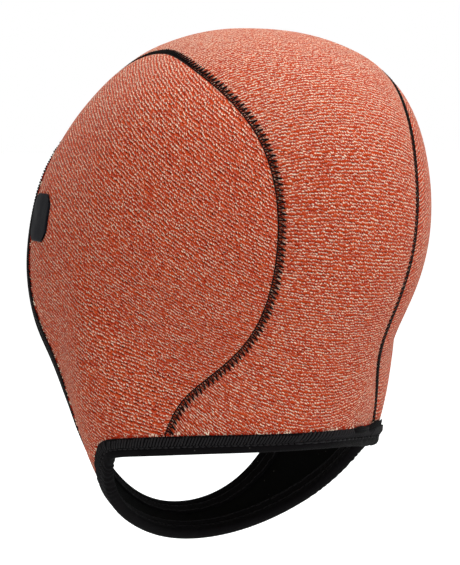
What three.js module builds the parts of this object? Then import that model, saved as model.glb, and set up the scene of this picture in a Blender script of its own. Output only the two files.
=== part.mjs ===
// A surf cap: a close head cover of foam rubber cloth with an open face and a strap under the chin.
// Three knit-faced panels meet at two curved seams and lie on a black lining, and black bindings
// fold over the edge of the face and over the edge at the neck.
// The wearer faces -Y, +Z is up and +X is the wearer's left. Lengths are millimetres, angles degrees.
// The origin is where the crown of the head touches the lining.
import * as THREE from 'three';

const { degToRad, radToDeg, lerp, euclideanModulo } = THREE.MathUtils;

// The head form is swept round the X axis. Each row is a section at a turn counted from the face
// over the crown: its reach at the middle, how much fuller it is than an ellipse towards the ear,
// and how far from the middle the seam crosses it.
const HALF_WIDTH = 82;
const FORM = [
  { turn: 0, reach: 118, fullness: 0.15, seam: 44 },
  { turn: 30, reach: 104, fullness: 0.19, seam: 44 },
  { turn: 60, reach: 106, fullness: -0.1, seam: 37 },
  { turn: 90, reach: 97, fullness: 0.06, seam: 35 },
  { turn: 120, reach: 109, fullness: 0.31, seam: 53 },
  { turn: 150, reach: 120, fullness: -0.08, seam: 35 },
  { turn: 180, reach: 111, fullness: -0.24, seam: 34 },
  { turn: 210, reach: 83, fullness: -0.15, seam: 31 },
  { turn: 240, reach: 104, fullness: -0.42, seam: 55 },
  { turn: 270, reach: 153, fullness: 0.48, seam: 55 },
  { turn: 300, reach: 123, fullness: -0.22, seam: 50 },
  { turn: 330, reach: 141, fullness: -0.06, seam: 44 },
];

// The face opening is a rounded oblong on the form, from the chin to the forehead.
const FACE = { turn: -16.5, halfTurn: 50, halfTilt: 57, power: 3.2 };

// The neck edge lies almost level round the nape and turns down below the ears along the strap.
const NECK = { cornerY: 4, cornerZ: -88.1, napeSlope: 0.075, strapSlope: 1.2, cornerRounding: 4 };

// Layers, from the outside in, and the gaps left between sewn pieces.
const PANEL_THICKNESS = 2;
const LINING_THICKNESS = 1;
const GAP = 0.3;
const CLOTH_THICKNESS = PANEL_THICKNESS + GAP + LINING_THICKNESS;

// A binding folds over the cloth: legs on both faces and a rounded fold past the edge.
const BINDING = { width: 8, thickness: 1, foldBulge: 0.2 };

// A plain patch on the wearer's left cheek, beside the face binding.
const PATCH = { turn: 18, tilt: 66.5, length: 32, height: 22, corner: 4, thickness: 0.6 };

// Cells of the grids: along the seam, from the seam to the cheek line, from there down the strap
// to the chin, across the centre panel, and across the patch. The cheek line runs from the neck
// edge's corner to a place on the face edge, given by its angle on the rounded oblong.
const SEAM_CELLS = 22;
const EAR_CELLS = 10;
const STRAP_CELLS = 9;
const CENTRE_CELLS = 8;
const PATCH_CELLS = 6;
const CHEEK_ANGLE = -35;
const CHIN_ANGLE = -90;

// Turns and bearings between which an edge of the form is looked for.
const FOREHEAD_SEARCH = { from: FACE.turn, to: 90 };
const NAPE_SEARCH = { from: 200, to: 262 };
const RADIUS_SEARCH = { from: 2, to: 160 };
const CROWN_TURN = 96;
const CURVE_SAMPLES = 120;
const BISECTIONS = 40;
const SLOPE_STEP = 0.01;

const ROW_TURN = 360 / FORM.length;

// A column of the form at any turn: a closed cubic B-spline over the rows.
function formAt(turn, column) {
  const place = euclideanModulo(turn, 360) / ROW_TURN;
  const row = Math.floor(place);
  const t = place - row;
  const weights = [(1 - t) ** 3, 3 * t ** 3 - 6 * t ** 2 + 4, -3 * t ** 3 + 3 * t ** 2 + 3 * t + 1, t ** 3];
  const rowAt = (k) => FORM[euclideanModulo(row + k - 1, FORM.length)][column];
  return weights.reduce((sum, weight, k) => sum + (weight / 6) * rowAt(k), 0);
}

// Distance from the X axis to the outer skin, where lean is x over the half width.
function skinReach(turn, lean) {
  return formAt(turn, 'reach') * (1 + formAt(turn, 'fullness') * lean ** 2);
}

function skinPoint(turn, tilt) {
  const lean = Math.sin(degToRad(tilt));
  const reach = skinReach(turn, lean) * Math.cos(degToRad(tilt));
  const angle = degToRad(turn);
  return new THREE.Vector3(HALF_WIDTH * lean, -reach * Math.cos(angle), reach * Math.sin(angle));
}

const turnOf = (point) => radToDeg(Math.atan2(point.z, -point.y));
const tiltOf = (point) => radToDeg(Math.asin(THREE.MathUtils.clamp(point.x / HALF_WIDTH, -1, 1)));

// Zero on the outer skin, negative inside it and positive outside.
function skinField(point) {
  const lean = point.x / HALF_WIDTH;
  const share = Math.hypot(point.y, point.z) / skinReach(turnOf(point), lean);
  return share ** 2 + lean ** 2 - 1;
}

function skinSlope(point) {
  const slope = new THREE.Vector3();
  for (const axis of ['x', 'y', 'z']) {
    const ahead = point.clone();
    const behind = point.clone();
    ahead[axis] += SLOPE_STEP;
    behind[axis] -= SLOPE_STEP;
    slope[axis] = (skinField(ahead) - skinField(behind)) / (2 * SLOPE_STEP);
  }
  return slope;
}

const skinNormal = (point) => skinSlope(point).normalize();

function ontoSkin(point) {
  const moved = point.clone();
  for (let pass = 0; pass < 4; pass += 1) {
    const slope = skinSlope(moved);
    moved.addScaledVector(slope, -skinField(moved) / slope.lengthSq());
  }
  return moved;
}

// The place where a value changes sign between two ends.
function crossing(value, { from, to }) {
  const startsBelow = value(from) < 0;
  let [low, high] = [from, to];
  for (let pass = 0; pass < BISECTIONS; pass += 1) {
    const middle = (low + high) / 2;
    if (value(middle) < 0 === startsBelow) low = middle;
    else high = middle;
  }
  return (low + high) / 2;
}

// Zero on the edge of the face opening and negative inside it.
function faceField(turn, tilt) {
  const along = Math.abs((turn - FACE.turn) / FACE.halfTurn) ** FACE.power;
  const across = Math.abs(tilt / FACE.halfTilt) ** FACE.power;
  return along + across - 1;
}

function neckHeight(y) {
  const back = y - NECK.cornerY;
  const mean = (NECK.napeSlope + NECK.strapSlope) / 2;
  const bend = (NECK.napeSlope - NECK.strapSlope) / 2;
  return NECK.cornerZ + mean * back + bend * Math.hypot(back, NECK.cornerRounding);
}

// A lengthwise line of the centre panel. Its share runs from -1 on the right seam to 1 on the left,
// and its ends are the forehead edge and the nape edge.
function centreLine(share) {
  const tiltAt = (turn) => radToDeg(Math.asin((share * formAt(turn, 'seam')) / HALF_WIDTH));
  const height = (turn) => {
    const point = skinPoint(turn, tiltAt(turn));
    return point.z - neckHeight(point.y);
  };
  const front = crossing((turn) => faceField(turn, tiltAt(turn)), FOREHEAD_SEARCH);
  const back = crossing(height, NAPE_SEARCH);
  return (s) => {
    const turn = lerp(front, back, s);
    return skinPoint(turn, tiltAt(turn));
  };
}

// A stretch of the left face edge between two angles of its rounded oblong, 0 being at the cheek.
function faceLine(from, to) {
  return (s) => {
    const angle = degToRad(lerp(from, to, s));
    const rise = Math.sign(angle) * Math.abs(Math.sin(angle)) ** (2 / FACE.power);
    const spread = Math.abs(Math.cos(angle)) ** (2 / FACE.power);
    return skinPoint(FACE.turn + FACE.halfTurn * rise, FACE.halfTilt * spread);
  };
}

function faceAngleOf(point) {
  const rise = (turnOf(point) - FACE.turn) / FACE.halfTurn;
  return radToDeg(Math.asin(rise ** (FACE.power / 2)));
}

// A stretch of the left neck edge between two bearings seen from between its corners, where 0 is
// at the corner and -90 at the middle of the strap.
function neckLine(from, to) {
  return (s) => {
    const bearing = degToRad(lerp(from, to, s));
    const at = (radius) => {
      const y = NECK.cornerY + radius * Math.sin(bearing);
      return new THREE.Vector3(radius * Math.cos(bearing), y, neckHeight(y));
    };
    return at(crossing((radius) => skinField(at(radius)), RADIUS_SEARCH));
  };
}

const neckBearingOf = (point) => radToDeg(Math.atan2(point.y - NECK.cornerY, point.x));

// Points along a line at given distances, each worked out from the line's whole length.
function pointsAlong(line, distances) {
  const samples = Array.from({ length: CURVE_SAMPLES + 1 }, (_, k) => line(k / CURVE_SAMPLES));
  const lengths = [0];
  for (let k = 1; k <= CURVE_SAMPLES; k += 1) {
    lengths.push(lengths[k - 1] + samples[k].distanceTo(samples[k - 1]));
  }
  return distances(lengths[CURVE_SAMPLES]).map((distance) => {
    const next = Math.max(1, lengths.findIndex((length) => length >= distance - 1e-9));
    const part = (distance - lengths[next - 1]) / (lengths[next] - lengths[next - 1]);
    return line((next - 1 + part) / CURVE_SAMPLES);
  });
}

const evenly = (cells) => (length) => Array.from({ length: cells + 1 }, (_, k) => (length * k) / cells);

// The first and last cells are as wide as a binding, and the cells between them are even.
function betweenBindings(cells) {
  return (length) => {
    const inner = length - 2 * BINDING.width;
    const middle = evenly(cells - 2)(inner).map((distance) => BINDING.width + distance);
    return [0, ...middle, length];
  };
}

// Flat chart round the left ear, in which the side panel's lines are blended.
const toChart = (point) => {
  const angle = degToRad(turnOf(point));
  return new THREE.Vector2(Math.cos(angle), Math.sin(angle)).multiplyScalar(90 - tiltOf(point));
};
const fromChart = (spot) => skinPoint(radToDeg(Math.atan2(spot.y, spot.x)), 90 - spot.length());

const mixSpots = (terms) => {
  const sum = new THREE.Vector2();
  terms.forEach(([spot, weight]) => sum.addScaledVector(spot, weight));
  return sum;
};

// Grids are lists of lines, and each line runs from the face edge to the neck edge.
function centreGrid() {
  return Array.from({ length: CENTRE_CELLS + 1 }, (_, k) => {
    const line = centreLine((2 * k) / CENTRE_CELLS - 1);
    return pointsAlong(line, betweenBindings(SEAM_CELLS));
  });
}

// Lines from the face edge to the neck edge that fill the field between a first and a last one.
function blendedLines({ first, last, faceEdge, neckEdge, cells }) {
  const faceSpots = pointsAlong(faceEdge, evenly(cells)).map(toChart);
  const neckSpots = pointsAlong(neckEdge, evenly(cells)).map(toChart);
  const blend = (s, row) => {
    const down = row / cells;
    return fromChart(mixSpots([
      [toChart(first(s)), 1 - down],
      [toChart(last(s)), down],
      [faceSpots[row], 1 - s],
      [neckSpots[row], s],
      [faceSpots[0], -(1 - s) * (1 - down)],
      [neckSpots[0], -s * (1 - down)],
      [faceSpots[cells], -(1 - s) * down],
      [neckSpots[cells], -s * down],
    ]));
  };
  return faceSpots.map((_, row) => {
    const line = row === 0 ? first : (s) => blend(s, row);
    return pointsAlong(line, betweenBindings(SEAM_CELLS));
  });
}

// The left side panel and its half of the strap, from the seam to the middle of the chin.
function sideGrid() {
  const seam = centreLine(1);
  const earFace = faceLine(faceAngleOf(seam(0)), CHEEK_ANGLE);
  const strapFace = faceLine(CHEEK_ANGLE, CHIN_ANGLE);
  const earNeck = neckLine(neckBearingOf(seam(1)), 0);
  const strapNeck = neckLine(0, -90);
  const chinTurns = [strapFace(1), strapNeck(1)].map(turnOf);
  const cheek = (s) => fromChart(toChart(earFace(1)).lerp(toChart(earNeck(1)), s));
  const chin = (s) => skinPoint(lerp(...chinTurns, s), 0);
  const ear = { first: seam, last: cheek, faceEdge: earFace, neckEdge: earNeck, cells: EAR_CELLS };
  const strap = { first: cheek, last: chin, faceEdge: strapFace, neckEdge: strapNeck, cells: STRAP_CELLS };
  return [...blendedLines(ear), ...blendedLines(strap).slice(1)];
}

const mirrored = (point) => new THREE.Vector3(-point.x, point.y, point.z);
const mirrorGrid = (grid) => grid.map((line) => line.map(mirrored)).reverse();

// Draws the first and last lines of a grid back from its seams, towards their neighbours.
function drawnBack(grid) {
  const last = grid.length - 1;
  const pull = (line, neighbour) => line.map((point, k) => {
    const step = neighbour[k].clone().sub(point).setLength(GAP / 2);
    return point.clone().add(step);
  });
  return grid.map((line, k) => {
    if (k === 0) return pull(line, grid[1]);
    if (k === last) return pull(line, grid[last - 1]);
    return line;
  });
}

function bodyFrom(positions, triangles) {
  const geometry = new THREE.BufferGeometry();
  const numbers = positions.flatMap((point) => point.toArray());
  geometry.setAttribute('position', new THREE.Float32BufferAttribute(numbers, 3));
  geometry.setIndex(triangles.flat());
  geometry.computeVertexNormals();
  return geometry;
}

// A closed sheet of cloth between two heights over the skin, on grids that share their borders.
function sheetGeometry(grids, outer, inner) {
  const spots = [];
  const indexOf = new Map();
  const spotIndex = (point) => {
    const key = point.toArray().map((value) => Math.round(value * 1000)).join();
    if (!indexOf.has(key)) {
      indexOf.set(key, spots.length);
      spots.push(point);
    }
    return indexOf.get(key);
  };
  const faces = [];
  for (const grid of grids) {
    const ids = grid.map((line) => line.map(spotIndex));
    for (let i = 1; i < grid.length; i += 1) {
      for (let k = 1; k < grid[i].length; k += 1) {
        faces.push([ids[i - 1][k - 1], ids[i][k - 1], ids[i][k]]);
        faces.push([ids[i - 1][k - 1], ids[i][k], ids[i - 1][k]]);
      }
    }
  }
  const normals = spots.map(skinNormal);
  const raised = (height) => spots.map((spot, k) => spot.clone().addScaledVector(normals[k], height));
  const count = spots.length;
  const edges = new Map();
  for (const face of faces) {
    for (let k = 0; k < 3; k += 1) {
      const [from, to] = [face[k], face[(k + 1) % 3]];
      if (edges.has(`${to},${from}`)) edges.delete(`${to},${from}`);
      else edges.set(`${from},${to}`, [from, to]);
    }
  }
  const walls = [...edges.values()].flatMap(([from, to]) => [
    [from, from + count, to + count],
    [from, to + count, to],
  ]);
  const under = faces.map(([a, b, c]) => [a + count, c + count, b + count]);
  return bodyFrom([...raised(outer), ...raised(inner)], [...faces, ...under, ...walls]);
}

// Section of a binding. Each row has its place (at the leg's end or at the cloth's edge),
// how far it goes past the edge, and its height over the skin.
function bindingSection() {
  const { thickness, foldBulge } = BINDING;
  const top = GAP + thickness;
  const bottom = -CLOTH_THICKNESS - top;
  const past = GAP + thickness;
  return [
    { at: 'leg', past: 0, height: top },
    { at: 'edge', past: GAP, height: top },
    { at: 'edge', past, height: GAP },
    { at: 'edge', past: past + foldBulge, height: -CLOTH_THICKNESS / 2 },
    { at: 'edge', past, height: -CLOTH_THICKNESS - GAP },
    { at: 'edge', past: GAP, height: bottom },
    { at: 'leg', past: 0, height: bottom },
    { at: 'leg', past: 0, height: -CLOTH_THICKNESS - GAP },
    { at: 'edge', past: GAP, height: -CLOTH_THICKNESS - GAP },
    { at: 'edge', past: GAP, height: GAP },
    { at: 'leg', past: 0, height: GAP },
  ];
}

// A binding is its section carried round a closed loop of stations, each an edge point with the
// point one binding width inside it. Its faces are split the way the cloth's are, from a leg point
// to the next edge point, so that the gap between them stays even.
function bindingGeometry(stations) {
  const section = bindingSection();
  const positions = stations.flatMap(({ edge, leg }) => {
    const normals = { edge: skinNormal(edge), leg: skinNormal(leg) };
    const outward = edge.clone().sub(leg).projectOnPlane(normals.edge).normalize();
    return section.map(({ at, past, height }) => {
      const base = at === 'edge' ? edge : leg;
      return base.clone().addScaledVector(outward, past).addScaledVector(normals[at], height);
    });
  });
  const index = (station, k) => (station % stations.length) * section.length + (k % section.length);
  const triangles = stations.flatMap((_, station) => section.flatMap((row, k) => {
    const near = [index(station, k), index(station, k + 1)];
    const far = [index(station + 1, k), index(station + 1, k + 1)];
    const towardsLeg = row.at === 'edge' && section[(k + 1) % section.length].at === 'leg';
    if (towardsLeg) return [[near[0], far[0], near[1]], [far[0], far[1], near[1]]];
    return [[near[0], far[0], far[1]], [near[0], far[1], near[1]]];
  }));
  return bodyFrom(positions, triangles);
}

// A rounded patch: a grid squeezed into its corners and laid on the skin.
function patchGrid() {
  const centre = skinPoint(PATCH.turn, PATCH.tilt);
  const normal = skinNormal(centre);
  const up = new THREE.Vector3(0, 0, 1).projectOnPlane(normal).normalize();
  const along = normal.clone().cross(up);
  const shareAt = (k) => (2 * k) / PATCH_CELLS - 1;
  const squeeze = (share, other, half) => {
    const inCorner = Math.max(0, Math.abs(other) - 0.5) / 0.5;
    return share * (half - PATCH.corner * inCorner ** 4 * Math.abs(share));
  };
  return Array.from({ length: PATCH_CELLS + 1 }, (_, i) => {
    return Array.from({ length: PATCH_CELLS + 1 }, (__, k) => {
      const [a, b] = [shareAt(i), shareAt(k)];
      const point = centre.clone();
      point.addScaledVector(along, squeeze(a, b, PATCH.length / 2));
      point.addScaledVector(up, -squeeze(b, a, PATCH.height / 2));
      return ontoSkin(point);
    });
  });
}

// The lines of the whole cap in turn: down the left side, up the right side and over the centre.
const loopOf = (left, right, centre) => [...left, ...right.slice(1, -1), ...centre.slice(0, -1)];

const knit = () => new THREE.MeshStandardMaterial({ color: 0xa85542, roughness: 0.95, metalness: 0 });
const black = () => new THREE.MeshStandardMaterial({ color: 0x121112, roughness: 0.8, metalness: 0 });

function piece(name, geometry, material) {
  const mesh = new THREE.Mesh(geometry, material);
  mesh.name = name;
  return mesh;
}

const centre = centreGrid();
const left = sideGrid();
const right = mirrorGrid(left);
const liningTop = -PANEL_THICKNESS - GAP;
const loop = loopOf(left, right, centre);
const faceStations = loop.map((line) => ({ edge: line[0], leg: line[1] })).reverse();
const neckStations = loop.map((line) => ({ edge: line.at(-1), leg: line.at(-2) }));

const panel = (grid) => sheetGeometry([drawnBack(grid)], 0, -PANEL_THICKNESS);
const surfCap = new THREE.Group();
surfCap.add(
  piece('centre_panel', panel(centre), knit()),
  piece('side_panel_left', panel(left), knit()),
  piece('side_panel_right', panel(right), knit()),
  piece('lining', sheetGeometry([centre, left, right], liningTop, -CLOTH_THICKNESS), black()),
  piece('face_binding', bindingGeometry(faceStations), black()),
  piece('neck_binding', bindingGeometry(neckStations), black()),
  piece('cheek_patch', sheetGeometry([patchGrid()], GAP + PATCH.thickness, GAP), black()),
);

// The origin is moved to the seat of the head, on the lining at the crown.
const crown = skinPoint(CROWN_TURN, 0);
const seat = crown.clone().addScaledVector(skinNormal(crown), -CLOTH_THICKNESS);
surfCap.position.copy(seat).negate();

export default surfCap;
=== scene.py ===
import math

import bmesh
import bpy
import numpy as np
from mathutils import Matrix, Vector, noise


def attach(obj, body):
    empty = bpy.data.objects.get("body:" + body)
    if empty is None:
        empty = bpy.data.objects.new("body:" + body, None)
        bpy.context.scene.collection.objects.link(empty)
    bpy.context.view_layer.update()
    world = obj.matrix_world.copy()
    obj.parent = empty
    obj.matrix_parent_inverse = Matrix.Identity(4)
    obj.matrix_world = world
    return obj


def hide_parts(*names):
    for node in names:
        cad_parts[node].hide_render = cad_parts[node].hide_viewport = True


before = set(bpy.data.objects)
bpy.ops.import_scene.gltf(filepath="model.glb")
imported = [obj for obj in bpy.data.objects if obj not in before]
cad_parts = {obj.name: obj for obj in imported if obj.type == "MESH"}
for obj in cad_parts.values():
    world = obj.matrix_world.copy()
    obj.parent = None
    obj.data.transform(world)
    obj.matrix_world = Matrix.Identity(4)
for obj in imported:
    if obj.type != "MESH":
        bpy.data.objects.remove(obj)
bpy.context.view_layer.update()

METRE = 0.001

# The head form is swept round the X axis. Each row is a section at a turn counted from the face
# over the crown: its reach at the middle, how much fuller it is than an ellipse towards the ear,
# and how far from the middle the seam crosses it.
HALF_WIDTH = 82
FORM = (
    {"turn": 0, "reach": 118, "fullness": 0.15, "seam": 44},
    {"turn": 30, "reach": 104, "fullness": 0.19, "seam": 44},
    {"turn": 60, "reach": 106, "fullness": -0.1, "seam": 37},
    {"turn": 90, "reach": 97, "fullness": 0.06, "seam": 35},
    {"turn": 120, "reach": 109, "fullness": 0.31, "seam": 53},
    {"turn": 150, "reach": 120, "fullness": -0.08, "seam": 35},
    {"turn": 180, "reach": 111, "fullness": -0.24, "seam": 34},
    {"turn": 210, "reach": 83, "fullness": -0.15, "seam": 31},
    {"turn": 240, "reach": 104, "fullness": -0.42, "seam": 55},
    {"turn": 270, "reach": 153, "fullness": 0.48, "seam": 55},
    {"turn": 300, "reach": 123, "fullness": -0.22, "seam": 50},
    {"turn": 330, "reach": 141, "fullness": -0.06, "seam": 44},
)
FACE_TURN = -16.5
FACE_HALF_TURN = 50
FACE_HALF_TILT = 57
FACE_POWER = 3.2
NECK_CORNER_Y = 4
NECK_CORNER_Z = -88.1
NAPE_SLOPE = 0.075
STRAP_SLOPE = 1.2
CORNER_ROUNDING = 4
CROWN_TURN = 96

# Ranges in which the ends of the centre panel's lines are looked for, and how far out the neck's
# edge may lie from between its corners.
FOREHEAD_TURNS = (FACE_TURN, 90)
NAPE_TURNS = (200, 262)
NECK_RADII = (2, 160)

# Layers from the outside in, and the tape that folds over their edges.
PANEL_THICKNESS = 2
LAYER_GAP = 0.3
LINING_THICKNESS = 1
CLOTH_THICKNESS = PANEL_THICKNESS + LAYER_GAP + LINING_THICKNESS
TAPE_WIDTH = 8
TAPE_THICKNESS = 0.7
TAPE_FOLD = 1.3

# Lines of the cloth's grids, and how finely they are cut.
CHEEK_ANGLE = -35
CHIN_ANGLE = -90
LINE_SAMPLES = 241
COLUMNS_IN_TAPE = 4
COLUMNS_BETWEEN = 92
CENTRE_LINES = 53
EAR_LINES = 48
STRAP_LINES = 34
TAPE_STEP = 0.65
SEAM_CROWDING = 0.65
BISECTIONS = 40
SKIN_STEPS = 4
DISTANCE_PARTS = 60

ALONG = np.linspace(0, 1, LINE_SAMPLES)


def form_at(turn, column):
    """A column of the form at any turn, as a closed cubic B-spline over its rows."""
    values = np.array([row[column] for row in FORM], dtype=float)
    place = np.mod(turn, 360) * len(FORM) / 360
    row = np.floor(place).astype(int)
    t = place - row
    weights = ((1 - t) ** 3, 3 * t**3 - 6 * t**2 + 4, -3 * t**3 + 3 * t**2 + 3 * t + 1, t**3)
    return sum(w / 6 * values[(row + k - 1) % len(FORM)] for k, w in enumerate(weights))


def skin_reach(turn, lean):
    return form_at(turn, "reach") * (1 + form_at(turn, "fullness") * lean**2)


def skin_point(turn, tilt):
    lean = np.sin(np.radians(tilt))
    reach = skin_reach(turn, lean) * np.cos(np.radians(tilt))
    angle = np.radians(turn)
    side = HALF_WIDTH * lean + 0 * reach
    return np.stack([side, -reach * np.cos(angle), reach * np.sin(angle)], -1)


def turn_of(points):
    return np.degrees(np.arctan2(points[..., 2], -points[..., 1]))


def tilt_of(points):
    return np.degrees(np.arcsin(np.clip(points[..., 0] / HALF_WIDTH, -1, 1)))


def skin_field(points):
    """Zero on the outer skin, negative inside it and positive outside."""
    lean = points[..., 0] / HALF_WIDTH
    share = np.hypot(points[..., 1], points[..., 2]) / skin_reach(turn_of(points), lean)
    return share**2 + lean**2 - 1


def skin_slope(points, step=0.01):
    ahead = [skin_field(points + step * axis) for axis in np.eye(3)]
    behind = [skin_field(points - step * axis) for axis in np.eye(3)]
    return (np.stack(ahead, -1) - np.stack(behind, -1)) / (2 * step)


def unit(vectors):
    return vectors / np.linalg.norm(vectors, axis=-1, keepdims=True)


def skin_normal(points):
    return unit(skin_slope(points))


def onto_skin(points):
    for _ in range(SKIN_STEPS):
        slope = skin_slope(points)
        reach = skin_field(points) / np.sum(slope**2, axis=-1)
        points = points - slope * reach[..., None]
    return points


def crossing(value, low, high):
    """The places where a value changes sign between two ends."""
    starts_below = value(low) < 0
    for _ in range(BISECTIONS):
        middle = (low + high) / 2
        same = (value(middle) < 0) == starts_below
        low = np.where(same, middle, low)
        high = np.where(same, high, middle)
    return (low + high) / 2


# A flat chart round the left ear, in which the lines of a panel are blended.
def to_chart(points):
    angle = np.radians(turn_of(points))
    return np.stack([np.cos(angle), np.sin(angle)], -1) * (90 - tilt_of(points))[..., None]


def from_chart(spots):
    turn = np.degrees(np.arctan2(spots[..., 1], spots[..., 0]))
    return skin_point(turn, 90 - np.hypot(spots[..., 0], spots[..., 1]))


def face_field(turn, tilt):
    """Zero on the edge of the face opening and negative inside it."""
    along = np.abs((turn - FACE_TURN) / FACE_HALF_TURN) ** FACE_POWER
    return along + np.abs(tilt / FACE_HALF_TILT) ** FACE_POWER - 1


def neck_height(y):
    back = y - NECK_CORNER_Y
    bend = (NAPE_SLOPE - STRAP_SLOPE) / 2 * np.hypot(back, CORNER_ROUNDING)
    return NECK_CORNER_Z + (NAPE_SLOPE + STRAP_SLOPE) / 2 * back + bend


def centre_lines(shares):
    """Lengthwise lines of the centre panel, with shares from -1, the right seam, to 1, the left."""
    def tilt_at(turn, share):
        return np.degrees(np.arcsin(share * form_at(turn, "seam") / HALF_WIDTH))

    def over_neck(turn):
        point = skin_point(turn, tilt_at(turn, shares))
        return point[..., 2] - neck_height(point[..., 1])

    def over_face(turn):
        return face_field(turn, tilt_at(turn, shares))

    flat = np.zeros(len(shares))
    front = crossing(over_face, flat + FOREHEAD_TURNS[0], flat + FOREHEAD_TURNS[1])
    back = crossing(over_neck, flat + NAPE_TURNS[0], flat + NAPE_TURNS[1])
    turns = front[:, None] + (back - front)[:, None] * ALONG
    return to_chart(skin_point(turns, tilt_at(turns, shares[:, None])))


def face_line(start, end):
    """A stretch of the left face edge between two angles of its rounded oblong."""
    angle = np.radians(start + (end - start) * ALONG)
    rise = np.sign(angle) * np.abs(np.sin(angle)) ** (2 / FACE_POWER)
    spread = np.abs(np.cos(angle)) ** (2 / FACE_POWER)
    return to_chart(skin_point(FACE_TURN + FACE_HALF_TURN * rise, FACE_HALF_TILT * spread))


def neck_line(start, end):
    """A stretch of the left neck edge between two bearings seen from between its corners."""
    bearing = np.radians(start + (end - start) * ALONG)

    def at(radius):
        y = NECK_CORNER_Y + radius * np.sin(bearing)
        return np.stack([radius * np.cos(bearing), y, neck_height(y)], -1)

    flat = np.zeros(LINE_SAMPLES)
    low, high = NECK_RADII
    return to_chart(at(crossing(lambda radius: skin_field(at(radius)), flat + low, flat + high)))


def lengths_along(points):
    steps = np.linalg.norm(np.diff(points, axis=0), axis=-1)
    return np.concatenate([[0], np.cumsum(steps)])


def spaced(spots, distances):
    """Spots along a line, at distances that are worked out from the line's whole length."""
    lengths = lengths_along(from_chart(spots))
    wanted = distances(lengths[-1])
    return np.stack([np.interp(wanted, lengths, column) for column in spots.T], -1)


def between_tapes(length):
    """Distances along a line that are finer under the tape at both of its ends."""
    under = np.linspace(0, TAPE_WIDTH, COLUMNS_IN_TAPE, endpoint=False)
    middle = np.linspace(TAPE_WIDTH, length - TAPE_WIDTH, COLUMNS_BETWEEN + 1)
    return np.concatenate([under, middle, length - under[::-1]])


def from_seam(count):
    """Shares from a seam across a panel, closer together beside the seam."""
    share = np.linspace(0, 1, count + 1)
    return (1 - SEAM_CROWDING) * share + SEAM_CROWDING * share**2


def blended_lines(first, last, face_edge, neck_edge, shares):
    """Lines from the face edge to the neck edge that fill the field between a first and a last."""
    face = spaced(face_edge, lambda length: shares * length)
    neck = spaced(neck_edge, lambda length: shares * length)
    down = shares[:, None, None]
    s = ALONG[None, :, None]
    spots = first * (1 - down) + last * down + face[:, None] * (1 - s) + neck[:, None] * s
    top = face[0] * (1 - s) + neck[0] * s
    bottom = face[-1] * (1 - s) + neck[-1] * s
    return spots - top * (1 - down) - bottom * down


def left_side_lines():
    """The lines of the left side panel and its half of the strap, from the seam to the chin."""
    seam = centre_lines(np.ones(1))[0]
    seam_ends = from_chart(seam[[0, -1]])
    rise = (turn_of(seam_ends[0]) - FACE_TURN) / FACE_HALF_TURN
    face_start = np.degrees(np.arcsin(rise ** (FACE_POWER / 2)))
    neck_start = np.degrees(np.arctan2(seam_ends[1][1] - NECK_CORNER_Y, seam_ends[1][0]))
    ear_face = face_line(face_start, CHEEK_ANGLE)
    ear_neck = neck_line(neck_start, 0)
    strap_face = face_line(CHEEK_ANGLE, CHIN_ANGLE)
    strap_neck = neck_line(0, -90)
    cheek = ear_face[-1] + (ear_neck[-1] - ear_face[-1]) * ALONG[:, None]
    high, low = turn_of(from_chart(np.stack([strap_face[-1], strap_neck[-1]])))
    chin = to_chart(skin_point(high + (low - high) * ALONG, 0 * ALONG))
    down_strap = 1 - from_seam(STRAP_LINES)[::-1]
    ear = blended_lines(seam, cheek, ear_face, ear_neck, from_seam(EAR_LINES))
    strap = blended_lines(cheek, chin, strap_face, strap_neck, down_strap)
    return np.concatenate([ear, strap[1:]])


def grid_of(lines):
    return from_chart(np.stack([spaced(line, between_tapes) for line in lines]))


def mirrored(points):
    return points * (-1, 1, 1)


CENTRE = grid_of(centre_lines(np.sin(np.linspace(-1, 1, CENTRE_LINES) * math.pi / 2)))
LEFT = grid_of(left_side_lines())
RIGHT = mirrored(LEFT)[::-1]
LEFT_SEAM = from_chart(centre_lines(np.ones(1))[0])
RIGHT_SEAM = mirrored(LEFT_SEAM)
CHIN_SEAM = LEFT[-1]

crown = skin_point(np.array(CROWN_TURN), np.array(0))
SEAT = crown - skin_normal(crown) * CLOTH_THICKNESS


def even_loop(points, step):
    """A closed line of points, spaced evenly."""
    closed = np.concatenate([points, points[:1]])
    lengths = lengths_along(closed)
    count = int(round(lengths[-1] / step))
    wanted = np.arange(count) * lengths[-1] / count
    return np.stack([np.interp(wanted, lengths, column) for column in closed.T], -1)


def edge_loops():
    """The face edge and the neck edge, each with the cloth on the side of normal x tangent."""
    left = from_chart(left_side_lines()[:, [0, -1]])
    right = mirrored(left)[::-1]
    over = from_chart(centre_lines(np.linspace(-1, 1, CENTRE_LINES))[:, [0, -1]])
    loop = np.concatenate([left, right[1:], over[1:-1]])
    face = onto_skin(even_loop(loop[:, 0], TAPE_STEP))
    neck = onto_skin(even_loop(loop[::-1, 1], TAPE_STEP))
    return face, neck


FACE_EDGE, NECK_EDGE = edge_loops()


def distance_to(line, points):
    """How far each point is from a line of points."""
    parts = np.array_split(points.reshape(-1, 1, 3), DISTANCE_PARTS)
    near = [np.linalg.norm(part - line[None], axis=-1).min(axis=1) for part in parts]
    return np.concatenate(near).reshape(points.shape[:-1])


def seam_distance(points):
    seams = (LEFT_SEAM, RIGHT_SEAM, CHIN_SEAM)
    return np.min([distance_to(seam, points) for seam in seams], axis=0)


# The whole cloth sways a little from the form, as foam rubber does between its seams.
SWAY_HEIGHT = 0.45
SWAY_SIZE = 34
SWAY_SEED = Vector((3.1, 7.7, 1.3))


def sway(points):
    flat = points.reshape(-1, 3)
    values = [noise.noise(Vector(point) / SWAY_SIZE + SWAY_SEED) for point in flat]
    return SWAY_HEIGHT * np.array(values).reshape(points.shape[:-1])


def raised(points, height):
    """Points on the form's skin, lifted by a height over the swaying cloth."""
    lift = sway(points) + height
    return points + skin_normal(points) * lift[..., None]


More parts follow.
